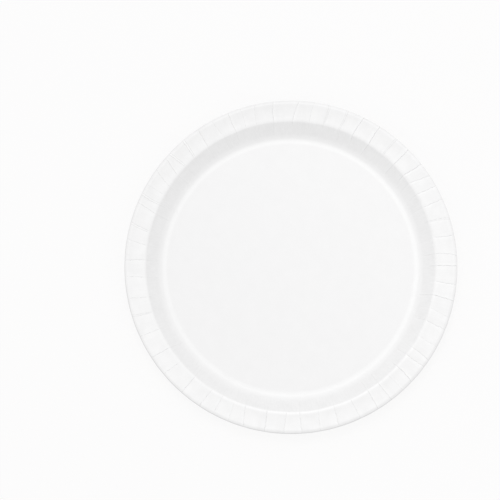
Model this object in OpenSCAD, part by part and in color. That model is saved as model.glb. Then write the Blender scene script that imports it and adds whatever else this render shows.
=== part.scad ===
// Pleated paper plate, lying on its base with its centre over the origin.
// One round blank of white board is pressed into a flat bottom, a curved foot, a steep wall and a
// broad rim that curls up a little and ends in a lip turned down. The pressed shape is less far
// round than the flat blank was, so the spare board is gathered into narrow folds that run out
// over the wall, the rim and the lip.

/* [Plate] */
// Diameter across the outer edge of the lip
plate_d = 230; // [180:1:280]
// Rise from the flat bottom to the inner edge of the rim
well_depth = 11; // [10:0.1:18]
// Thickness of the board
board_t = 0.45; // [0.35:0.05:0.8]

/* [Foot and wall] */
// Radius of the hollow curve from the bottom up into the wall
foot_r = 10.4; // [8:0.1:14]
// Slope of the wall, in degrees
wall_angle = 50; // [40:1:55]
// Radius of the round shoulder from the wall out to the level start of the rim
shoulder_r = 2.6; // [2:0.1:5.5]

/* [Rim and lip] */
// Width of the rim between the shoulder and the lip, seen from above
rim_w = 11.6; // [6:0.1:24]
// Slope that the rim has curled up to where it meets the lip, in degrees
rim_angle = 12; // [4:1:20]
// Radius of the lip's turn
lip_r = 1.6; // [1.2:0.1:5]
// Slope of the lip where it ends, in degrees below level
lip_angle = 56; // [30:1:80]

/* [Folds] */
// Number of folds round the plate
fold_count = 60; // [40:1:66]
// Width of a fold across its open top
fold_w = 1.2; // [0.6:0.1:1.6]
// Share of its depth that a fold keeps after pressing
fold_open = 0.8; // [0.3:0.05:1]
// How far a fold may stray from its even place, in degrees
fold_stray = 0.8; // [0:0.1:1]
// How far a fold may lean sideways by the edge, in degrees
fold_lean = 0.5; // [0:0.1:0.6]
// Number that picks one chance arrangement of the folds
fold_seed = 21; // [1:1:99]

/* [Hidden] */

// Flat facets along each curve of the section
foot_steps = 5;
shoulder_steps = 3;
rim_steps = 2;
lip_steps = 3;

// The section is followed outwards along the face of the board, one stretch after another.
// Run is a stretch's length seen from above, and rise is its height.
foot_run = foot_r * sin(wall_angle);
foot_rise = foot_r * (1 - cos(wall_angle));
shoulder_run = shoulder_r * sin(wall_angle);
shoulder_rise = shoulder_r * (1 - cos(wall_angle));
wall_rise = well_depth - foot_rise - shoulder_rise;
wall_run = wall_rise / tan(wall_angle);
rim_r = rim_w / sin(rim_angle);
rim_rise = rim_r * (1 - cos(rim_angle));
lip_run = lip_r * (sin(rim_angle) + sin(lip_angle));

// Radii of the places where one stretch hands over to the next
lip_at = plate_d / 2 - lip_run;
rim_at = lip_at - rim_w;
shoulder_at = rim_at - shoulder_run;
wall_at = shoulder_at - wall_run;
flat_r = wall_at - foot_run;

// Lengths of board from the centre to the same places
wall_len = flat_r + foot_r * arc(wall_angle);
shoulder_len = wall_len + wall_rise / sin(wall_angle);
rim_len = shoulder_len + shoulder_r * arc(wall_angle);
lip_len = rim_len + rim_r * arc(rim_angle);

function arc(angle) = angle * PI / 180;
function between(from, to, share) = from + (to - from) * share;

// A station of the section holds the radius and height of the board's face, its slope, and the
// length of board that lies between it and the centre.
function foot_station(slope) = [
  flat_r + foot_r * sin(slope),
  board_t + foot_r * (1 - cos(slope)),
  slope,
  flat_r + foot_r * arc(slope)
];
function shoulder_station(slope) = [
  shoulder_at + shoulder_r * (sin(wall_angle) - sin(slope)),
  board_t + foot_rise + wall_rise + shoulder_r * (cos(slope) - cos(wall_angle)),
  slope,
  shoulder_len + shoulder_r * arc(wall_angle - slope)
];
function rim_station(slope) = [
  rim_at + rim_r * sin(slope),
  board_t + well_depth + rim_r * (1 - cos(slope)),
  slope,
  rim_len + rim_r * arc(slope)
];
function lip_station(slope) = [
  lip_at + lip_r * (sin(rim_angle) - sin(slope)),
  board_t + well_depth + rim_rise + lip_r * (cos(slope) - cos(rim_angle)),
  slope,
  lip_len + lip_r * arc(rim_angle - slope)
];

section = concat(
  [for (i = [0 : foot_steps]) foot_station(wall_angle * i / foot_steps)],
  [for (i = [0 : shoulder_steps]) shoulder_station(wall_angle * (1 - i / shoulder_steps))],
  [for (i = [1 : rim_steps - 1]) rim_station(rim_angle * i / rim_steps)],
  [for (i = [0 : lip_steps]) lip_station(between(rim_angle, -lip_angle, i / lip_steps))]
);
last = len(section) - 1;
function radius(i) = section[i][0];
function height(i) = section[i][1];
function slope(i) = section[i][2];
function board_len(i) = section[i][3];

// Folds stray and lean by chance, in the same way each time
fold_step = 360 / fold_count;
chance = rands(-1, 1, 2 * fold_count, fold_seed);
function stray(k) = fold_stray * chance[k];
function lean(k) = fold_lean * chance[fold_count + k];

// Board left over for each fold at a station: the blank's way round less the plate's way round.
// The foot curve is pressed smooth, so what it leaves over is taken off.
function slack(i) =
  2 * PI * (board_len(i) - radius(i) - (wall_len - wall_at)) / fold_count;

// Depth of a V that is fold_w wide and uses up that much more board than its width
function fold_depth(i) =
  fold_open * sqrt(pow((fold_w + slack(i)) / 2, 2) - pow(fold_w / 2, 2));

// Each fold owns three points on every ring: one edge, the bottom and the other edge.
// On the smooth foot the points are spread evenly instead.
sides = [-1, 0, 1];
function folded(i) = i > foot_steps;
function point_angle(i, k, side) =
  folded(i)
    ? fold_step * k + stray(k) + lean(k) * way_out(i) + side * fold_half_angle(i)
    : fold_step * (k + side / len(sides));
function fold_half_angle(i) = fold_w / 2 / radius(i) / arc(1);
function way_out(i) = (radius(i) - shoulder_at) / (plate_d / 2 - shoulder_at);

// A point lies down from the unfolded face, square to the board
function board_point(i, k, side, down) =
  let (drop = down + (folded(i) && side == 0 ? fold_depth(i) : 0))
  let (r = radius(i) + drop * sin(slope(i)))
  let (z = height(i) - drop * cos(slope(i)))
  let (a = point_angle(i, k, side))
  [r * cos(a), r * sin(a), z];

function rings(down) = [
  for (i = [0 : last], k = [0 : fold_count - 1], side = sides) board_point(i, k, side, down)
];

ring_size = len(sides) * fold_count;
under = ring_size * (last + 1);
function next(j) = (j + 1) % ring_size;

// Two triangles that fill the quad between points j and j + 1 of one row and of another
function band(row_a, row_b, j) = [
  [row_a + j, row_a + next(j), row_b + next(j)],
  [row_a + j, row_b + next(j), row_b + j]
];

face_bands = [
  for (i = [0 : last - 1], j = [0 : ring_size - 1])
    each band(ring_size * i, ring_size * (i + 1), j)
];
under_bands = [
  for (i = [0 : last - 1], j = [0 : ring_size - 1])
    each band(under + ring_size * (i + 1), under + ring_size * i, j)
];
cut_edge = [
  for (j = [0 : ring_size - 1]) each band(ring_size * last, under + ring_size * last, j)
];
inner_edge = [for (j = [0 : ring_size - 1]) each band(under, 0, j)];

// The flat bottom has the same corners as the first ring of the formed board, so the two meet
// face to face all round.
module flat_bottom()
  linear_extrude(board_t)
    polygon([
      for (k = [0 : fold_count - 1], side = sides)
        let (a = point_angle(0, k, side)) flat_r * [cos(a), sin(a)]
    ]);

// Foot, wall, shoulder, rim and lip
module formed_board()
  polyhedron(
    points = concat(rings(0), rings(board_t)),
    faces = concat(face_bands, under_bands, cut_edge, inner_edge)
  );

module plate()
  color("white")
    union() {
      flat_bottom();
      formed_board();
    }

plate();
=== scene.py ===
# %% [markdown]
# # A pleated paper plate
# The real plate is one round blank of white paperboard, struck once in a heated die. The die leaves a
# flat bottom, a curved foot, a steep wall and a broad rim whose edge turns down. A flat round blank is
# too long round its edge for that shape, so the spare board gathers into narrow folds.
#
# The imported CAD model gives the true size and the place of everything. This script dresses it: it builds
# the same board as a fine closed skin with every fold in it, gives it a coated paper finish, and sets up
# a plain floor, plain light and the camera. All lengths are in metres, with the plate lying on z = 0.

# %% Load the frame
from math import cos, pi, radians, sin

import bpy
import numpy as np
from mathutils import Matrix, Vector


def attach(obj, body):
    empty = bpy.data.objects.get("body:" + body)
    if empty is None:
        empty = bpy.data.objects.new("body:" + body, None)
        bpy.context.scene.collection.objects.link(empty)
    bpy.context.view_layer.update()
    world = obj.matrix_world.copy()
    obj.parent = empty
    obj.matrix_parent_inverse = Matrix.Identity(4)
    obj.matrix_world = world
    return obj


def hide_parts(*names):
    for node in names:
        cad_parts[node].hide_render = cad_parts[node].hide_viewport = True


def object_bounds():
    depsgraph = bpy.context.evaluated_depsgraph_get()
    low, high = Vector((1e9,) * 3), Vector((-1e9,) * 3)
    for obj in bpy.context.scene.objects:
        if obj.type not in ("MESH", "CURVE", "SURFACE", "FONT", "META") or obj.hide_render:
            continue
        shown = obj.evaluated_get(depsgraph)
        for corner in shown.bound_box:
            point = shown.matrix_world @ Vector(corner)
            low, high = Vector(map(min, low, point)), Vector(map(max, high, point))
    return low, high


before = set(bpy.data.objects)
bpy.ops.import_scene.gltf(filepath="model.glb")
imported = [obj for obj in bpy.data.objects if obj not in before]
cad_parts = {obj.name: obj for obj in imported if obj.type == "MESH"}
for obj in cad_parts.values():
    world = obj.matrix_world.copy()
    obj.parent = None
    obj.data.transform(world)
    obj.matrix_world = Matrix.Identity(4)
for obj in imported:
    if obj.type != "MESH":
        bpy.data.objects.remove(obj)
cad_low, cad_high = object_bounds()
MM = 0.001
print("CAD box, mm:", [round(side / MM, 2) for side in cad_high - cad_low])

# %% [markdown]
# ## The section of the board
# Cut through, the plate is one thin line that only ever bends: flat, up the foot, a little steeper still
# up the wall, sharply back over the shoulder and gently on to level, slowly up again along the rim, and
# down at the lip. It could be drawn as a polyline or as arcs joined end to end. Here it is written as the
# slope of the board against the length of board from the centre, because a straight stretch is then a
# constant, a round stretch is a steady change, and adding up small steps gives the radius and the height
# with no joint to fit.

# %% Sizes of the pressed shape
BOARD_T = 0.45 * MM
WELL_DEPTH = 11.23 * MM
FOOT_R = 7.5 * MM
FOOT_SLOPE = radians(46)
WALL_SLOPE = radians(52)
SHOULDER_R = 1.6 * MM
EASE_SLOPE = radians(12)
EASE_R = 10 * MM
RIM_W = 9.7 * MM
RIM_SLOPE = radians(12)
LIP_R = 2.5 * MM
LIP_SLOPE = radians(-56)
# Room inside the CAD box for what a fold adds to the smooth board
FOLD_ROOM = 0.05 * MM
# How far the plate is out of round, on the radius
OVAL = 0.3 * MM

plate_r = cad_high.x - FOLD_ROOM - OVAL
foot_run = FOOT_R * sin(FOOT_SLOPE)
foot_rise = FOOT_R * (1 - cos(FOOT_SLOPE))
shoulder_run = SHOULDER_R * (sin(WALL_SLOPE) - sin(EASE_SLOPE))
shoulder_rise = SHOULDER_R * (cos(EASE_SLOPE) - cos(WALL_SLOPE))
ease_run = EASE_R * sin(EASE_SLOPE)
ease_rise = EASE_R * (1 - cos(EASE_SLOPE))
wall_rise = WELL_DEPTH - foot_rise - shoulder_rise - ease_rise
wall_r = wall_rise / (cos(FOOT_SLOPE) - cos(WALL_SLOPE))
wall_run = wall_r * (sin(WALL_SLOPE) - sin(FOOT_SLOPE))
lip_run = LIP_R * (sin(RIM_SLOPE) - sin(LIP_SLOPE))
lip_at = plate_r - lip_run
rim_at = lip_at - RIM_W
shoulder_end = rim_at - ease_run
wall_top = shoulder_end - shoulder_run
wall_foot = wall_top - wall_run
flat_r = wall_foot - foot_run
print("radii, mm: flat %.2f, wall %.2f to %.2f, rim %.2f to %.2f, edge %.2f"
      % tuple(r / MM for r in (flat_r, wall_foot, wall_top, rim_at, lip_at, plate_r)))

# %% Slope along the board, and where that puts it
stretches = [
    ("flat", flat_r, 0.0),
    ("foot", FOOT_R * FOOT_SLOPE, FOOT_SLOPE),
    ("wall", wall_r * (WALL_SLOPE - FOOT_SLOPE), WALL_SLOPE),
    ("shoulder", SHOULDER_R * (WALL_SLOPE - EASE_SLOPE), EASE_SLOPE),
    ("ease", EASE_R * EASE_SLOPE, 0.0),
    ("rim", RIM_W / sin(RIM_SLOPE) * RIM_SLOPE, RIM_SLOPE),
    ("lip", LIP_R * (RIM_SLOPE - LIP_SLOPE), LIP_SLOPE),
]
ends = np.cumsum([0.0] + [length for name, length, slope in stretches])
end_slopes = np.array([0.0] + [slope for name, length, slope in stretches])
board_end = dict(zip(["centre"] + [name for name, length, slope in stretches], ends))
SECTION_STEPS = 8000


def section(board):
    """Radius, height and slope of the face at given lengths of board from the centre.
    The slope changes evenly from the end of one stretch to the end of the next. The radius is the sum
    of cos(slope) over the board so far, and the height is the sum of sin(slope), made less by one
    factor if the rim would otherwise stand past the top of the CAD box."""
    fine = np.linspace(0, ends[-1], SECTION_STEPS + 1)
    slope = np.interp(fine, ends, end_slopes)
    step = fine[1] - fine[0]
    mid = (slope[1:] + slope[:-1]) / 2
    radius = np.concatenate([[0.0], np.cumsum(np.cos(mid)) * step])
    height = np.concatenate([[0.0], np.cumsum(np.sin(mid)) * step])
    top = cad_high.z - 2 * FOLD_ROOM - BOARD_T
    return (
        np.interp(board, fine, radius),
        np.interp(board, fine, height) * min(top / height.max(), 1.0) + BOARD_T,
        np.interp(board, fine, slope),
    )


edge_radius, edge_height, edge_slope = section(ends[-1])
print("board from centre to edge %.1f mm, edge at radius %.2f mm, height %.2f mm"
      % (ends[-1] / MM, edge_radius / MM, edge_height / MM))

# %% [markdown]
# ## Where the folds are
# The blank is scored or simply left to gather, and each fold sets where the board happens to give way.
# So the folds are never quite even: they lean, wander, come in pairs, or hardly show. A row of equal
# folds from an array would look machined. Each fold below is read off the real plate, as the angle
# where it meets the lip and the angle where it starts at the shoulder, counted in degrees
# anticlockwise from the right, and sorted by how it looks. Deep, plain, soft and faint folds differ in
# strength, and a broad fold gapes wider. A double fold is two creases with a proud strip between them, a
# wedge is a double fold that is fainter on the wall, and a twin is one whose strip hardly stands out.

# %% Folds, by the way they look
FOLDS = {
    "deep": [
        (0.3, 0.3), (38.3, 39.0), (45.0, 44.7), (57.7, 57.5), (63.9, 64.8), (316.2, 316.8),
        (348.1, 348.7),
    ],
    "plain": [
        (4.0, 5.1), (11.1, 11.6), (24.2, 24.0), (29.3, 29.8), (33.4, 35.1), (87.1, 89.2), (96.0, 96.5),
        (112.1, 111.9), (124.0, 124.5), (138.8, 141.0), (157.1, 158.6), (177.8, 177.5), (213.1, 213.9),
        (229.0, 229.2), (260.8, 260.8), (301.5, 301.8), (307.1, 306.8), (323.1, 322.7), (325.6, 326.3),
        (337.7, 338.3), (353.8, 354.2),
    ],
    "soft": [
        (144.0, 146.4), (183.3, 184.4), (190.8, 192.1), (204.9, 205.6), (220.2, 221.0), (236.7, 237.7),
        (242.0, 242.5), (273.8, 273.5), (286.7, 287.1),
    ],
    "broad": [(170.2, 171.7), (253.4, 252.1), (267.5, 268.5), (294.6, 294.2)],
    "double": [(136.9, 136.2), (153.7, 154.5), (164.6, 166.2)],
    "twin": [(17.0, 17.8), (50.5, 50.5), (70.1, 70.6), (76.5, 76.9), (197.3, 198.3)],
    "wedge": [(130.3, 131.2)],
    "faint": [
        (81.8, 82.5), (102.7, 103.4), (107.7, 107.7), (118.5, 117.1), (150.0, 150.4), (247.8, 247.4),
        (280.2, 281.0), (312.0, 311.7), (331.2, 331.7), (341.9, 343.5),
    ],
}
STRENGTH = {
    "deep": 0.95, "plain": 0.66, "soft": 0.45, "broad": 0.5, "double": 0.65, "twin": 0.55, "wedge": 0.75,
    "faint": 0.3,
}
# How strongly the strip between two creases shows
STRIP_SHOWS = {"double": 2.4, "twin": 0.3, "wedge": 1.5}

folds = sorted((inner, outer, kind) for kind, pairs in FOLDS.items() for outer, inner in pairs)
shoulder_angle = np.radians([inner for inner, outer, kind in folds])
lip_angle = np.radians([outer for inner, outer, kind in folds])
fold_kind = np.array([kind for inner, outer, kind in folds])
strength = np.array([STRENGTH[kind] for kind in fold_kind])
strip_shows = np.array([STRIP_SHOWS.get(kind, 0.0) for kind in fold_kind])
has_strip = strip_shows > 0
fold_count = len(folds)
print(fold_count, "folds:", {kind: len(pairs) for kind, pairs in FOLDS.items()})

# %% [markdown]
# ## A grid that follows the folds
# Each fold is about half a millimetre wide on a plate 230 mm across. A grid fine enough everywhere would
# have millions of faces, and a bump map would leave the edge and the underside smooth. So the columns of
# the grid are packed close across each fold and spread wide over the plain board between two folds, and
# they lean and wander with the fold.

# %% Rows outwards and columns round
ROWS = {"foot": 13, "wall": 7, "shoulder": 6, "ease": 5, "rim": 21, "lip": 9}
ROWS_FROM_MIDDLE = np.array([5, 60]) * MM
ROWS_BEFORE_FOOT = np.array([2.4, 1.7, 1.1, 0.5]) * MM
# Where the columns of a fold stand, measured from its middle: with one crease, and with two
SINGLE = np.array([-1.4, -0.8, -0.45, -0.26, -0.12, 0, 0.12, 0.26, 0.45, 0.8, 1.4]) * MM
DOUBLE = np.array([-1.8, -1.15, -0.8, -0.6, -0.4, 0, 0.4, 0.6, 0.8, 1.15, 1.8]) * MM
CREASE_OFF_MIDDLE = DOUBLE[7]
PLAIN_COLUMNS = 6

stretch_rows = [
    np.linspace(board_end[before], board_end[name], ROWS[name], endpoint=False)
    for before, name in zip(["flat", "foot", "wall", "shoulder", "ease", "rim"], ROWS)
]
flat_board = np.concatenate([ROWS_FROM_MIDDLE, flat_r - ROWS_BEFORE_FOOT])
face_board = np.concatenate([flat_board] + stretch_rows + [[ends[-1]]])
radius, height, slope = section(face_board)
print(len(face_board), "rows on the face,", fold_count * (len(SINGLE) + PLAIN_COLUMNS), "columns")

# %% Smooth uneven lines
WAVELENGTHS = np.array([1.9, 3.3, 6.1]) * MM


def wander(at_radius, phases):
    """A smooth uneven line for each fold: the mean of three sine waves along the radius."""
    turns = at_radius[:, None, None] / WAVELENGTHS
    return np.sin(2 * pi * (turns + phases)).mean(axis=2)


def smooth_step(value, start, end):
    """0 before start, 1 after end, and 3t² - 2t³ between them."""
    t = np.clip((value - start) / (end - start), 0, 1)
    return t * t * (3 - 2 * t)


print("a smooth step from 0 to 1 at a quarter of the way: %.3f" % smooth_step(0.25, 0, 1))

# %% Chance that is the same each time
SEED = 21
GAPE = (0.1, 1.3)
STRIP_AT_SHOULDER = (0.3, 0.75)
PROUD_STRIPS = ["double", "wedge"]
PROUD_STRIP_AT_SHOULDER = 0.8
STRIP_AT_LIP = (0.9, 1.6)
WALL_LEAN = 0.45
LOWEST_WALL_LINE = flat_r + 0.4 * foot_run
HIGHEST_WALL_LINE = wall_top - 2 * MM
WALL_LINE = (0.2, 0.7)
DEEP_WALL_LINE = 0.6
WEDGE_WALL_LINE = 0.5
WALL_LINES_VARY = 0.25
WALL_LINES_AT = radians(50)

chance = np.random.default_rng(SEED)
sway = chance.normal(0, 1, fold_count)
path_phase = chance.random((fold_count, len(WAVELENGTHS)))
depth_phase = chance.random((fold_count, len(WAVELENGTHS)))
gape = chance.uniform(*GAPE, fold_count)
strip_inner = chance.uniform(*STRIP_AT_SHOULDER, fold_count)
strip_inner = np.where(np.isin(fold_kind, PROUD_STRIPS), PROUD_STRIP_AT_SHOULDER, strip_inner)
strip_outer = chance.uniform(*STRIP_AT_LIP, fold_count)
wall_lean = np.radians(chance.normal(0, WALL_LEAN, fold_count))
wall_start = chance.uniform(LOWEST_WALL_LINE, HIGHEST_WALL_LINE, fold_count)
wall_strength = chance.uniform(*WALL_LINE, fold_count)
wall_strength = np.where(fold_kind == "deep", DEEP_WALL_LINE, wall_strength)
round_the_wall = 1 - WALL_LINES_VARY + WALL_LINES_VARY * np.cos(shoulder_angle - WALL_LINES_AT)
wall_strength *= np.where(fold_kind == "wedge", WEDGE_WALL_LINE, round_the_wall)
print("fold lines on the wall start at %.1f to %.1f mm"
      % (wall_start.min() / MM, wall_start.max() / MM))

# %% Angle of every point
WANDER = 0.36 * MM
SWAY = 0.3 * MM
PLAIN_SPREAD = 0.85
BROAD_SPREAD = 1.5
ROOM_SHARE = 0.46


def column_angles():
    """Angles for rows x folds x columns. A fold's middle goes in a straight line from its shoulder
    angle to its lip angle, wanders a little, and leans over on the wall. Its own columns stand off
    from the middle by a distance, which is turned into an angle by the radius, and which grows
    outwards as the fold gapes, as far as the nearer neighbour leaves room. The plain columns share
    out what is left evenly up to the next fold. Sway bows the whole line to one side, as half a
    sine wave. On the flat and the foot the columns run straight in towards the centre."""
    way = smooth_step(radius, wall_top, plate_r)[:, None]
    out = np.clip((radius - shoulder_end) / (plate_r - shoulder_end), 0, 1)[:, None]
    down = np.clip((shoulder_end - radius) / (shoulder_end - wall_foot), 0, 1)[:, None]
    reach = np.maximum(radius, wall_foot)[:, None]
    middle = shoulder_angle + (lip_angle - shoulder_angle) * out + wall_lean * down
    middle = middle + wander(radius, path_phase) * WANDER * np.sqrt(way) / reach
    middle = middle + sway * np.sin(pi * out) * SWAY / reach
    strip_spread = strip_inner + (strip_outer - strip_inner) * out
    crease_spread = np.where(fold_kind == "broad", BROAD_SPREAD, PLAIN_SPREAD) + gape * out ** 2
    spread = np.where(has_strip, strip_spread, crease_spread)
    to_next = np.diff(np.concatenate([middle, middle[:, :1] + 2 * pi], axis=1), axis=1) * reach
    room = np.minimum(to_next, np.roll(to_next, 1, axis=1))
    spread = np.minimum(spread, ROOM_SHARE * room / DOUBLE[-1])
    offsets = np.where(has_strip[:, None], DOUBLE, SINGLE)
    own = middle[:, :, None] + spread[:, :, None] * offsets / reach[:, :, None]
    following = np.concatenate([own[:, 1:, :1], own[:, :1, :1] + 2 * pi], axis=1)
    share = np.arange(1, PLAIN_COLUMNS + 1) / (PLAIN_COLUMNS + 1)
    plain = own[:, :, -1:] + (following - own[:, :, -1:]) * share
    return np.concatenate([own, plain], axis=2), spread


angles, spread = column_angles()
print("narrowest gap between columns at the edge, mm: %.3f"
      % (np.diff(angles.reshape(len(radius), -1)[-1]).min() * plate_r / MM))

# %% [markdown]
# ## The shape of one fold
# In a pressed fold the board goes down, doubles back on itself and comes up again, and the die flattens
# the lot. What is left on the face is a narrow crease that gapes a little wider outwards, a shallow dip
# on both sides of it, and one side that stands slightly proud because it lies over the other. A double
# fold leaves two creases with a proud strip between them. All of it is added up as one distance from
# the smooth face, measured square to the board. The plain board between two folds bows out a little.

# %% How far the board is pushed in or out
CREASE_W = 0.3 * MM
DOUBLE_W = 0.24 * MM
CREASE_DEPTH = 0.15 * MM
DIP_DEPTH = 0.06 * MM
DIP_W = 0.9 * MM
LAP = 0.05 * MM
STRIP = 0.07 * MM
STRIP_W = 0.4 * MM
BOW = 0.06 * MM
FOLD_STARTS = 0.4 * MM
FOLD_FULL = 1 * MM
WALL_LINE_GROWS = 1.5 * MM
WEAK_FOLD = 0.5
UNEVEN = 0.6
WEAK_UNEVEN = 1.2

lap_side = chance.choice([-1.0, 1.0], fold_count)


def fold_envelope():
    """How strongly each fold shows in each row: its own strength, which rises over the shoulder, and
    less of it on the wall from its own starting place. It varies along the fold, and a weak fold
    varies more."""
    on_rim = smooth_step(radius, wall_top + FOLD_STARTS, shoulder_end + FOLD_FULL)[:, None]
    on_wall = wall_strength * smooth_step(radius[:, None], wall_start, wall_start + WALL_LINE_GROWS)
    uneven = 1 + np.where(strength < WEAK_FOLD, WEAK_UNEVEN, UNEVEN) * wander(radius, depth_phase)
    return np.maximum(on_rim, on_wall) * strength * np.clip(uneven, 0, None)


def crease_shape(distance, half_width):
    """A V: 1 in the middle and 0 from half_width outwards."""
    return np.clip(1 - np.abs(distance) / half_width, 0, 1)


envelope = fold_envelope()[:, :, None]
offsets = np.where(has_strip[:, None], DOUBLE, SINGLE) * spread[:, :, None]
off_middle = CREASE_OFF_MIDDLE * spread[:, :, None]
one = crease_shape(offsets, CREASE_W)
two = crease_shape(offsets - off_middle, DOUBLE_W) + crease_shape(offsets + off_middle, DOUBLE_W)
crease = envelope * np.where(has_strip[:, None], np.clip(two, 0, 1), one)
dip = envelope * np.exp(-(offsets / DIP_W) ** 2)
lap = envelope * np.exp(-np.abs(offsets) / DIP_W) * np.clip(offsets * lap_side[:, None] / CREASE_W, 0, 1)
strip = envelope * crease_shape(offsets, STRIP_W * spread[:, :, None]) * strip_shows[:, None]
strip = np.clip(strip, 0, 1)
own_push = LAP * lap + STRIP * strip - DIP_DEPTH * dip - CREASE_DEPTH * crease
bow_share = np.sin(pi * np.arange(1, PLAIN_COLUMNS + 1) / (PLAIN_COLUMNS + 1))
on_rim = smooth_step(radius, wall_top, shoulder_end + FOLD_FULL)[:, None, None]
plain_push = BOW * bow_share * on_rim * np.ones((1, fold_count, 1))
push = np.concatenate([own_push, plain_push], axis=2)
crease = np.concatenate([crease, np.zeros_like(plain_push)], axis=2)
# Painted highlight: this mask paints the proud strips and laps at the folds whiter
proud_highlight = np.concatenate([np.clip(strip + lap, 0, 1), np.zeros_like(plain_push)], axis=2)
print("deepest crease %.2f mm" % (-push.min() / MM))

# %% [markdown]
# ## From the grid to a closed skin
# The face could be one sheet thickened with a Solidify modifier. Here the underside is worked out as
# well, as the same points moved one board thickness square to the section, since then the folds show
# beneath as low ridges, the cut edge is a clean band, and the skin is closed with no modifier. The
# underside needs fewer rows. The die never strikes dead centre and the board springs back unevenly, so
# the well sits a little off the middle of the rim, the whole plate is a touch oval, the edge of the
# shoulder wavers, and the rim isn't quite flat.

# %% Points of the face and of the underside
OFF_CENTRE = np.array([-0.26, 0.36]) * MM
RIM_WAVE = 0.05 * MM
RIM_CRESTS = np.arange(2, 8)
SHOULDER_WAVE = 0.35 * MM
SHOULDER_WAVE_W = 2 * MM
SHOULDER_CRESTS = np.array([5, 7, 8, 11, 14, 19, 23, 31, 37])
UNDER_STEP = 3

rim_phase = chance.random(len(RIM_CRESTS))
shoulder_phase = chance.random(len(SHOULDER_CRESTS))


def waves_round(angle, crests, phases):
    """An uneven line round the plate: the mean of sine waves with whole numbers of crests."""
    turns = crests * angle[..., None] / (2 * pi) + phases
    return np.sin(2 * pi * turns).mean(axis=-1)


def board_points(rows, down):
    """Points for the given rows. Each starts from the section's radius and height. It moves square to
    the section, out by the folds' push less the depth down: against sin(slope) in radius and with
    cos(slope) in height. The radius also gets the oval and the shoulder's waver, and the height the
    rim's waves. The column's angle turns it round the axis, and the well is shifted sideways."""
    turn = angles[rows].reshape(len(rows), -1)
    shift = push[rows].reshape(len(rows), -1) - down
    tilt = slope[rows][:, None]
    rising = smooth_step(radius[rows], wall_foot, rim_at)[:, None]
    centring = (1 - smooth_step(radius[rows], wall_top, plate_r))[:, None]
    bent = smooth_step(radius[rows], 0, flat_r)[:, None]
    at_shoulder = np.exp(-((radius[rows] - shoulder_end) / SHOULDER_WAVE_W) ** 2)[:, None]
    uneven = SHOULDER_WAVE * at_shoulder * waves_round(turn, SHOULDER_CRESTS, shoulder_phase)
    r = radius[rows][:, None] - shift * np.sin(tilt) - OVAL * np.cos(2 * turn) * bent + uneven
    z = height[rows][:, None] + shift * np.cos(tilt)
    z = z + rising * RIM_WAVE * waves_round(turn, RIM_CRESTS, rim_phase)
    x = r * np.cos(turn) + OFF_CENTRE[0] * centring
    y = r * np.sin(turn) + OFF_CENTRE[1] * centring
    return np.stack([x, y, z], axis=2)


face_rows = np.arange(len(radius))
flat_rows, bent_rows = np.split(face_rows, [len(flat_board)])
under_rows = np.concatenate([flat_rows, bent_rows[:-1:UNDER_STEP], bent_rows[-1:]])
face = board_points(face_rows, 0.0)
under = board_points(under_rows[::-1], BOARD_T)
rings = np.concatenate([face, under])
print(len(face), "rings on the face and", len(under), "beneath")

# %% Join the rings into one closed mesh
def closed_skin(name, rings, top_centre, bottom_centre):
    """Four-sided faces between neighbouring rings and columns, with a fan of triangles to a middle
    point at each end. Going outwards on the face and back beneath turns every face outwards."""
    ring_count, columns = rings.shape[:2]
    corner = np.arange(ring_count * columns).reshape(ring_count, columns)
    beside = np.roll(corner, -1, axis=1)
    quads = np.stack([corner[:-1], corner[1:], beside[1:], beside[:-1]], axis=2).reshape(-1, 4)
    top, bottom = ring_count * columns, ring_count * columns + 1
    top_fan = np.stack([np.full(columns, top), corner[0], beside[0]], axis=1)
    bottom_fan = np.stack([corner[-1], np.full(columns, bottom), beside[-1]], axis=1)
    points = np.concatenate([rings.reshape(-1, 3), [top_centre, bottom_centre]])
    mesh = bpy.data.meshes.new(name)
    mesh.from_pydata(points.tolist(), [], quads.tolist() + top_fan.tolist() + bottom_fan.tolist())
    mesh.polygons.foreach_set("use_smooth", np.ones(len(mesh.polygons), bool))
    return mesh


well_middle = list(OFF_CENTRE)
plate_mesh = closed_skin("pleated_plate", rings, well_middle + [BOARD_T], well_middle + [0.0])
plate = bpy.data.objects.new("pleated_plate", plate_mesh)
bpy.context.scene.collection.objects.link(plate)
print("triangles:", sum(len(p.vertices) - 2 for p in plate_mesh.polygons))

# %% Sharp corners at the cut edge
columns = rings.shape[1]
edge_ends = np.zeros(len(plate_mesh.edges) * 2, np.int32)
plate_mesh.edges.foreach_get("vertices", edge_ends)
edge_rings = edge_ends.reshape(-1, 2) // columns
at_cut = (edge_rings[:, 0] == edge_rings[:, 1]) & np.isin(edge_rings[:, 0], [len(face) - 1, len(face)])
sharp = plate_mesh.attributes.new("sharp_edge", "BOOLEAN", "EDGE")
sharp.data.foreach_set("value", at_cut)
print(int(at_cut.sum()), "sharp edges round the cut edge")

# %% [markdown]
# ## Marks for the finish
# Some things about the finish are stored on the board itself: the painted shade in the creases and
# along the cut edge, the painted highlights at the foot, along the glossier crest of the shoulder and on
# the proud strips of the folds, the painted light and shade round the rim and on the foot, the gathered
# rim, the wall with its streaks, and the bare board beneath. They could be painted on by hand. Here they
# are worked out from the section and the folds, and are stored on the points as plain numbers that the
# material reads, which keeps them in place on the board whatever its shape.

# %% Store numbers on the points
# How much of the painted shade in the creases and at the cut edge shows beneath
UNDER_CREASE_SHADE = 0.5


def mark(name, on_face, on_under, at_centres):
    """Stores one number for each point, in the order of the skin's rings and its two middle points."""
    values = np.concatenate([on_face.ravel(), on_under.ravel(), at_centres]).astype(np.float32)
    layer = plate_mesh.attributes.new(name, "FLOAT", "POINT")
    layer.data.foreach_set("value", values)
    print(name, "from %.2f to %.2f" % (values.min(), values.max()))


def by_column(values):
    """Rows x folds x columns laid out as rows x columns round the whole plate."""
    return values.reshape(len(radius), -1)


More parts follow.
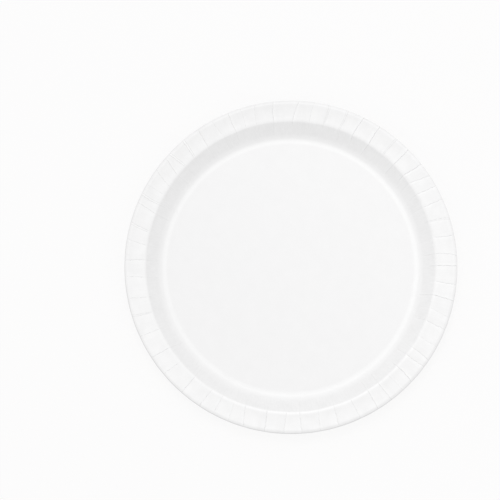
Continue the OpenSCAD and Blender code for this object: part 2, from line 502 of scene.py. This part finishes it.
# How far each point lies towards the back and towards the right, from -1 to 1
back, right = np.sin(by_column(angles)), np.cos(by_column(angles))
none_on_face = np.zeros_like(back)
none_beneath = np.zeros(under.shape[:2])
# Painted highlight on the proud strips and laps at the folds
mark("proud_highlight", by_column(proud_highlight), none_beneath, [0, 0])
mark("bare_board", none_on_face, none_beneath + 1, [0, 1])

# %% Painted shade in the creases and along the cut edge, darkest at the front
# In a strong crease the number passes 1, and the material's mix stops at 1.
EDGE_SHADE = 0.75
EDGE_SHADE_W = 1.1 * MM
EDGE_SHADE_ALL_ROUND = 0.65
EDGE_SHADE_BACK = -0.65
EDGE_SHADE_RIGHT = -0.2

# Painted shade along the last of the board before the cut edge, darkest at the front
near_edge = smooth_step(face_board, ends[-1] - EDGE_SHADE_W, ends[-1])[:, None]
edge_shade_here = EDGE_SHADE_ALL_ROUND + EDGE_SHADE_BACK * back + EDGE_SHADE_RIGHT * right
edge_shade = np.clip(EDGE_SHADE * near_edge * edge_shade_here, 0, 1)
# Painted shade in the creases and along the cut edge, as one mark
crease_and_edge_shade = np.maximum(by_column(crease), edge_shade)
mark("crease", crease_and_edge_shade, crease_and_edge_shade[under_rows[::-1]] * UNDER_CREASE_SHADE, [0, 0])

# %% [markdown]
# ## Painted highlights at the foot and on the shoulder
# A painted highlight whitens the board in a ring where it bends up from the flat, and another in a thin
# line along the crest of the shoulder, where the board is also a touch glossier. On the real plate both
# are a little uneven: the ring trails off further up the foot at the front, and the crest is whitest at
# the front left. A ring drawn in a texture would be crisp where the real one is soft. So the ring is a
# smooth step up and down over the length of board from the centre, the crest is a bell shape, and the
# sine and cosine of the angle round the plate change how wide and how white they are.

# %% The painted highlights: the ring at the foot and the crest of the shoulder
FOOT_HIGHLIGHT_START = -2.2 * MM
FOOT_HIGHLIGHT_FULL = -0.3 * MM
FOOT_HIGHLIGHT_FADES = 1.0 * MM
FOOT_HIGHLIGHT_END = 3.0 * MM
FOOT_HIGHLIGHT_WHITE = 0.79
FOOT_HIGHLIGHT_RIGHT = 0.07
FOOT_HIGHLIGHT_TILT = 0.15 * MM
FOOT_HIGHLIGHT_TAIL = 0.27
FOOT_HIGHLIGHT_TAIL_END = 9 * MM
CREST_W = 1.15 * MM
CREST_OUT = 0.5 * MM
CREST_HIGHLIGHT = 0.27
CREST_HIGHLIGHT_BACK = -0.19
CREST_HIGHLIGHT_RIGHT = -0.2

past_flat = (face_board - board_end["flat"])[:, None]
begins = smooth_step(past_flat, FOOT_HIGHLIGHT_START, FOOT_HIGHLIGHT_FULL)
fades = 1 - smooth_step(past_flat, FOOT_HIGHLIGHT_FADES, FOOT_HIGHLIGHT_END - FOOT_HIGHLIGHT_TILT * back)
tail = FOOT_HIGHLIGHT_TAIL * (1 - back) * (1 - smooth_step(past_flat, FOOT_HIGHLIGHT_FADES, FOOT_HIGHLIGHT_TAIL_END))
# Painted highlight: a whiter ring where the board bends up from the flat, wider and trailing further at
# the front, and whiter to the right
foot_highlight = FOOT_HIGHLIGHT_WHITE * (1 + FOOT_HIGHLIGHT_RIGHT * right) * begins * np.maximum(fades, tail)
from_crest = (face_board - board_end["shoulder"] - CREST_OUT)[:, None]
crest = np.exp(-(from_crest / CREST_W) ** 2)
# Painted highlight: a whiter line along the crest of the shoulder, whitest at the front left
crest_highlight = crest * (CREST_HIGHLIGHT + CREST_HIGHLIGHT_BACK * back + CREST_HIGHLIGHT_RIGHT * right)
mark("foot_highlight", none_on_face + foot_highlight, none_beneath, [0, 0])
mark("crest", none_on_face + crest, none_beneath, [0, 0])
mark("crest_highlight", np.clip(crest_highlight, 0, 1), none_beneath, [0, 0])

# %% [markdown]
# ## The gathered rim and the drawn wall
# Gathering packs the board of the rim, so it is mottled in small smudges, and painted light and shade
# makes it lighter or darker by a few parts in a hundred round the plate. The wall is drawn down over the
# die and shows fine streaks straight outwards, and painted shade darkens the curve at its foot at the
# back. The smudges and streaks come from noise in the material, and the marks only say where and how
# strongly they show. The painted light and shade is stored as a factor of its own: one, plus a few sines
# and cosines of the angle on the rim, less the foot's painted shade. Paint or a picture would do it too,
# but would have to be made again for another size of plate.

# %% How far the board is gathered and drawn, and the painted light and shade
GATHERED_PAST_EASE = 1 * MM
DRAWN_FROM = 2 * MM
DRAWN_ON_RIM = 0.5
DRAWN_SMUDGES = 0.6
# Painted light and shade on the rim, by the angle round the plate
PAINTED_RIM_LIGHT = 0.009
PAINTED_SHADING_BACK = -0.006
PAINTED_SHADING_RIGHT = -0.0095
PAINTED_SHADING_SIDES = 0.0115
PAINTED_SHADING_CORNERS = 0.0075
FOOT_SHADE = 0.018
FOOT_SHADE_AT = 2.9 * MM
FOOT_SHADE_W = 1.7 * MM
FOOT_SHADE_BACK = 0.94
FOOT_SHADE_RIGHT = -0.34

gathered = smooth_step(face_board, board_end["shoulder"], board_end["ease"] + GATHERED_PAST_EASE)
drawn = smooth_step(face_board, board_end["flat"] + DRAWN_FROM, board_end["foot"])
drawn = drawn * (1 - DRAWN_ON_RIM * smooth_step(face_board, board_end["shoulder"], board_end["ease"]))
# Painted light and shade on the rim: lighter or darker by sines and cosines of the angle round the plate
slow_painted_shading = PAINTED_SHADING_BACK * back + PAINTED_SHADING_RIGHT * right
fast_painted_shading = PAINTED_SHADING_SIDES * (right ** 2 - back ** 2) + PAINTED_SHADING_CORNERS * 2 * back * right
# Painted shade on the curve at the foot, at the back
shaded_side = np.clip(FOOT_SHADE_BACK * back + FOOT_SHADE_RIGHT * right, 0, 1)
foot_shade = FOOT_SHADE * shaded_side * np.exp(-((past_flat - FOOT_SHADE_AT) / FOOT_SHADE_W) ** 2)
painted_light_and_shade = 1 + gathered[:, None] * (PAINTED_RIM_LIGHT + slow_painted_shading + fast_painted_shading) - foot_shade
smudged = np.maximum(gathered, DRAWN_SMUDGES * drawn)
mark("smudged", none_on_face + smudged[:, None], none_beneath, [0, 0])
mark("drawn", none_on_face + drawn[:, None], none_beneath, [0, 0])
# The painted light and shade, stored as one factor
mark("painted_light_and_shade", painted_light_and_shade, none_beneath + 1, [1, 1])

# %% [markdown]
# ## Coated white board
# The face of a plate like this has a thin clay coating: nearly neutral white, matt with a faint sheen,
# and so smooth that only very soft clouds show in it. Painted highlights make it whiter at the foot,
# along the crest of the shoulder, which is also a touch glossier, and on the proud strips of the folds.
# Painted shade makes the creases and the cut edge greyer, and the gathered rim is a little mottled.
# Beneath and at the cut edge the bare fibres show, a touch warmer and rougher. A paper texture image
# would give all this too, but noise on the object's own coordinates has no seam and no end to its detail.

# %% A few helpers for material nodes
def feed(tree, sockets, values):
    """Gives each socket its value, or a link where the value is another node's socket."""
    for socket, value in zip(sockets, values):
        if isinstance(value, bpy.types.NodeSocket):
            tree.links.new(value, socket)
        else:
            socket.default_value = value


def node(tree, kind, settings=(), **inputs):
    """A new node, with its settings and with its named inputs fed."""
    made = tree.nodes.new(kind)
    for name, value in dict(settings).items():
        setattr(made, name, value)
    feed(tree, [made.inputs[name.replace("_", " ")] for name in inputs], inputs.values())
    return made


def calculate(tree, kind, operation, *values):
    """A Math or VectorMath node with its inputs fed in order, as its result's socket."""
    made = node(tree, kind, {"operation": operation})
    feed(tree, made.inputs, values)
    return made.outputs[0]


def blend_colour(tree, share, first, second, mode="MIX"):
    """Mixes or multiplies two colours, each a value or a socket, and gives back the result's socket."""
    made = node(tree, "ShaderNodeMix", {"data_type": "RGBA", "blend_type": mode})
    feed(tree, [made.inputs[0], made.inputs[6], made.inputs[7]], [share, first, second])
    return made.outputs[2]


def grey(value):
    """A neutral colour."""
    return (value, value, value, 1.0)


UNTINTED = grey(1.0)
print("a tint that changes nothing:", UNTINTED)

# %% The board's colours, sheen and grain
COATED_WHITE = (0.886, 0.884, 0.8855, 1.0)
BARE_FIBRE = (0.86, 0.85, 0.825, 1.0)
# Painted highlight colour for the ring at the foot and the crest of the shoulder
PAINTED_HIGHLIGHT_WHITE = grey(0.93)
# Painted highlight colour for the proud strips and laps at the folds
PROUD_HIGHLIGHT_WHITE = grey(0.96)
# Painted shade colour for the creases and the cut edge
CREASE_SHADE_GREY = grey(0.69)
COATED_ROUGHNESS = 0.45
CREST_ROUGHNESS = 0.36
BARE_ROUGHNESS = 0.85
COAT_SHINE = 0.5
GRAIN = {"Strength": 0.25, "Distance": 0.03 * MM}
MARKS = ("crease", "foot_highlight", "proud_highlight", "crest", "crest_highlight", "smudged", "drawn", "painted_light_and_shade", "bare_board")
# Each noise: its scale and detail, the two ends of its spread, and the tint at each end
CLOUDS = (95.0, 3.0, 0.3, 0.7, grey(0.988), UNTINTED)
FIBRES = (1700.0, 4.0, 0.3, 0.7, grey(0.985), UNTINTED)
SMUDGES = (150.0, 1.0, 0.35, 0.7, grey(1.008), grey(0.982))
STREAKS = (110.0, 1.0, 0.35, 0.7, grey(1.006), grey(0.982))
FIBRE_ROUGHNESS = 0.6
PLAIN_NOISE_ROUGHNESS = 0.5
STREAK_RISE = 2.4
print("coated white %.3f, painted_highlight %.3f, crease %.3f"
      % (COATED_WHITE[0], PAINTED_HIGHLIGHT_WHITE[0], CREASE_SHADE_GREY[0]))

# %% The finish, put together from the marks and four noises
def tint(tree, place, noise, roughness=PLAIN_NOISE_ROUGHNESS):
    """A tint that follows a noise, mixed evenly from one end of its spread to the other, and the
    noise's own socket."""
    scale, detail, low, high, first, second = noise
    made = node(tree, "ShaderNodeTexNoise", Vector=place, Scale=scale, Detail=detail, Roughness=roughness)
    share = node(tree, "ShaderNodeMapRange", Value=made.outputs["Fac"], From_Min=low, From_Max=high)
    return blend_colour(tree, share.outputs["Result"], first, second), made.outputs["Fac"]


def streak_place(tree, place):
    """Where the streaks read their noise: the direction from the middle, which is x and y over the
    radius, raised by STREAK_RISE times the height, so that a streak changes slowly up the wall."""
    level = calculate(tree, "ShaderNodeVectorMath", "MULTIPLY", place, (1, 1, 0))
    outwards = calculate(tree, "ShaderNodeVectorMath", "NORMALIZE", level)
    rise = (0, 0, STREAK_RISE)
    return calculate(tree, "ShaderNodeVectorMath", "MULTIPLY_ADD", place, rise, outwards)


def face_tints(tree, place, marks):
    """The coated white times the tints that the smudges and streaks leave on the face, and times the
    painted light and shade.
    """
    smudges, _ = tint(tree, place, SMUDGES)
    streaks, _ = tint(tree, streak_place(tree, place), STREAKS)
    on_rim = blend_colour(tree, marks["smudged"], UNTINTED, smudges)
    on_wall = blend_colour(tree, marks["drawn"], UNTINTED, streaks)
    colour = blend_colour(tree, 1.0, COATED_WHITE, on_rim, "MULTIPLY")
    colour = blend_colour(tree, 1.0, colour, on_wall, "MULTIPLY")
    # Painted light and shade on the rim, and painted shade on the foot
    return blend_colour(tree, 1.0, colour, marks["painted_light_and_shade"], "MULTIPLY")


def coated_board():
    """White coated paperboard: the tinted face, then the painted highlights at the foot, the shoulder's
    crest and the folds, then the painted shade in the creases and at the cut edge, the bare board beneath,
    and clouds and fibres over it all."""
    material = bpy.data.materials.new("coated_white_board")
    material.use_nodes = True
    tree = material.node_tree
    shader = tree.nodes["Principled BSDF"]
    place = node(tree, "ShaderNodeTexCoord").outputs["Object"]
    marks = {
        name: node(tree, "ShaderNodeAttribute", {"attribute_name": name}).outputs["Fac"]
        for name in MARKS
    }
    cloudy, _ = tint(tree, place, CLOUDS)
    fibrous, fibres = tint(tree, place, FIBRES, FIBRE_ROUGHNESS)
    colour = face_tints(tree, place, marks)
    # Painted highlight: the ring at the foot
    colour = blend_colour(tree, marks["foot_highlight"], colour, PAINTED_HIGHLIGHT_WHITE)
    # Painted highlight: the crest of the shoulder
    colour = blend_colour(tree, marks["crest_highlight"], colour, PAINTED_HIGHLIGHT_WHITE)
    # Painted highlight: the proud strips and laps at the folds
    colour = blend_colour(tree, marks["proud_highlight"], colour, PROUD_HIGHLIGHT_WHITE)
    # Painted shade: the creases and the cut edge
    colour = blend_colour(tree, marks["crease"], colour, CREASE_SHADE_GREY)
    colour = blend_colour(tree, marks["bare_board"], colour, BARE_FIBRE)
    colour = blend_colour(tree, 1.0, colour, cloudy, "MULTIPLY")
    colour = blend_colour(tree, 1.0, colour, fibrous, "MULTIPLY")
    coated = node(tree, "ShaderNodeMapRange", Value=marks["crest"],
                  To_Min=COATED_ROUGHNESS, To_Max=CREST_ROUGHNESS)
    roughness = node(tree, "ShaderNodeMapRange", Value=marks["bare_board"],
                     To_Min=coated.outputs["Result"], To_Max=BARE_ROUGHNESS)
    grain = node(tree, "ShaderNodeBump", Height=fibres, **GRAIN)
    tree.links.new(colour, shader.inputs["Base Color"])
    tree.links.new(roughness.outputs["Result"], shader.inputs["Roughness"])
    tree.links.new(grain.outputs["Normal"], shader.inputs["Normal"])
    shader.inputs["Specular IOR Level"].default_value = COAT_SHINE
    return material


plate_mesh.materials.append(coated_board())
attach(plate, "root")
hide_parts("plate")
print("finish:", plate_mesh.materials[0].name)

# %% [markdown]
# ## Floor and backdrop
# The floor is plain white and only has to carry the plate's soft shadow. It lies a hair below the plate,
# because two faces at the same height would show through each other. Seen by the camera it is lifted
# most of the way to white by a glow that lights nothing else, so that it stays pale without more light
# on the plate. To the camera and in reflections, the world behind it is nearly the same white.

# %% Floor with a soft shadow
FLOOR_SIZE = 12.0
FLOOR_GAP = 0.1 * MM
FLOOR_WHITE = 0.9
FLOOR_GLOW = 0.984
FLOOR_TINT = (1.0, 0.997, 0.998, 1.0)
GLOW_SHARE = 0.92


def seen_directly(tree):
    """1 for rays that come from the camera, or by way of a mirror or glass, and 0 for light."""
    path = node(tree, "ShaderNodeLightPath").outputs
    seen = calculate(tree, "ShaderNodeMath", "MAXIMUM", path["Is Camera Ray"], path["Is Glossy Ray"])
    return calculate(tree, "ShaderNodeMath", "MAXIMUM", seen, path["Is Transmission Ray"])


def mixed_into(tree, output_kind, share, first, second):
    """Mixes two shaders by a share and links the result to the tree's output."""
    mix = node(tree, "ShaderNodeMixShader")
    feed(tree, mix.inputs, [share, first.outputs[0], second.outputs[0]])
    output = node(tree, output_kind)
    tree.links.new(mix.outputs[0], output.inputs["Surface"])


def floor_finish():
    """A white diffuse surface, mixed with a white glow for the rays that see it directly."""
    material = bpy.data.materials.new("floor_white")
    material.use_nodes = True
    tree = material.node_tree
    tree.nodes.clear()
    surface = node(tree, "ShaderNodeBsdfDiffuse", Color=grey(FLOOR_WHITE))
    glow = node(tree, "ShaderNodeEmission", Color=FLOOR_TINT, Strength=FLOOR_GLOW)
    share = calculate(tree, "ShaderNodeMath", "MULTIPLY", seen_directly(tree), GLOW_SHARE)
    mixed_into(tree, "ShaderNodeOutputMaterial", share, surface, glow)
    return material


half = FLOOR_SIZE / 2
sides = [(-half, -half), (half, -half), (half, half), (-half, half)]
floor_corners = [(x, y, -FLOOR_GAP) for x, y in sides]
floor_mesh = bpy.data.meshes.new("floor")
floor_mesh.from_pydata(floor_corners, [], [(0, 1, 2, 3)])
floor_mesh.materials.append(floor_finish())
floor = bpy.data.objects.new("floor", floor_mesh)
bpy.context.scene.collection.objects.link(floor)
print("floor %.0f m across" % FLOOR_SIZE)

# %% [markdown]
# ## Light
# The plate was lit very evenly from all round, with a little more from beyond its top edge: the wall is
# darkest there and palest opposite. A white world gives the even part and one large soft lamp the rest.
# The lamp faces a spot far to the right of the plate, so that a little more of its light falls on that
# side. Together they light the flat at a level where a colour shows about as it is written.

# %% The white world
EVEN_SHARE = 0.816
BACKDROP_WHITE = 0.977

world = bpy.data.worlds.new("white_room")
world.use_nodes = True
bpy.context.scene.world = world
world_tree = world.node_tree
world_tree.nodes.clear()
even = node(world_tree, "ShaderNodeBackground", Color=UNTINTED, Strength=EVEN_SHARE)
backdrop = node(world_tree, "ShaderNodeBackground", Color=UNTINTED, Strength=BACKDROP_WHITE)
mixed_into(world_tree, "ShaderNodeOutputWorld", seen_directly(world_tree), even, backdrop)
bpy.context.scene.view_settings.view_transform = "Standard"
print("world gives %.2f of white as light and %.3f as backdrop" % (EVEN_SHARE, BACKDROP_WHITE))

# %% The soft lamp
LAMP_SHARE = 0.205
LAMP_SIZE = 0.8
LAMP_DISTANCE = 1.9
LAMP_OFF_AXIS = radians(21.5)
LAMP_AZIMUTH = radians(91)
LAMP_FACES = Vector((3.0, 0, 0))

lamp_data = bpy.data.lights.new("soft_lamp", "AREA")
lamp_data.shape = "DISK"
lamp_data.size = LAMP_SIZE
lamp = bpy.data.objects.new("soft_lamp", lamp_data)
sideways = sin(LAMP_OFF_AXIS) * LAMP_DISTANCE
lamp.location = (
    cos(LAMP_AZIMUTH) * sideways,
    sin(LAMP_AZIMUTH) * sideways,
    cos(LAMP_OFF_AXIS) * LAMP_DISTANCE,
)
facing = LAMP_FACES - lamp.location
turned_away = facing.angle(-lamp.location)
# A small lamp of W watts lights a level white surface to W cos(a) cos(b) / (pi d) squared, where a is how
# far it is turned away, b how far it stands off the axis, and d its distance. Here that is LAMP_SHARE.
lamp_data.energy = (
    LAMP_SHARE * pi ** 2 * LAMP_DISTANCE ** 2 / cos(LAMP_OFF_AXIS) / cos(turned_away)
)
lamp.rotation_mode = "QUATERNION"
lamp.rotation_quaternion = facing.to_track_quat("-Z", "Y")
bpy.context.scene.collection.objects.link(lamp)
print("lamp %.1f W" % lamp_data.energy)

# %% [markdown]
# ## Camera
# The real plate stood nearly upright and was photographed almost square on, from a few metres by the look
# of it. Here it lies flat, so the camera looks down on it from 85 degrees above the level, which gives
# the same view. The focal length follows from how many pixels a metre takes up at the camera's distance,
# and the camera is moved sideways, with no lens shift, until the rim's middle falls on the same pixel.

# %% Camera at the viewing angle of the photograph
IMAGE_SIZE = 500
PIXELS_PER_METRE = 1455.0
RIM_CENTRE_PIXEL = (290.9, 266.84)
CAMERA_DISTANCE = 4.0
CAMERA_ELEVATION = radians(85)
SENSOR_WIDTH = 36.0
CLIP_END = 50

camera_data = bpy.data.cameras.new("camera")
camera_data.sensor_width = SENSOR_WIDTH
camera_data.lens = PIXELS_PER_METRE * CAMERA_DISTANCE * SENSOR_WIDTH / IMAGE_SIZE
camera_data.clip_end = CLIP_END
camera = bpy.data.objects.new("camera", camera_data)
towards_camera = Vector((0, -cos(CAMERA_ELEVATION), sin(CAMERA_ELEVATION)))
image_right = Vector((1, 0, 0))
image_up = towards_camera.cross(image_right)
from_middle_x = (RIM_CENTRE_PIXEL[0] - IMAGE_SIZE / 2) / PIXELS_PER_METRE
from_middle_y = (IMAGE_SIZE / 2 - RIM_CENTRE_PIXEL[1]) / PIXELS_PER_METRE
rim_middle = Vector((0, 0, float(edge_height)))
aim = rim_middle - image_right * from_middle_x - image_up * from_middle_y
camera.location = aim + towards_camera * CAMERA_DISTANCE
camera.rotation_mode = "QUATERNION"
camera.rotation_quaternion = towards_camera.to_track_quat("Z", "Y")
bpy.context.scene.collection.objects.link(camera)
bpy.context.scene.camera = camera
print("lens %.0f mm at %.1f m" % (camera_data.lens, CAMERA_DISTANCE))
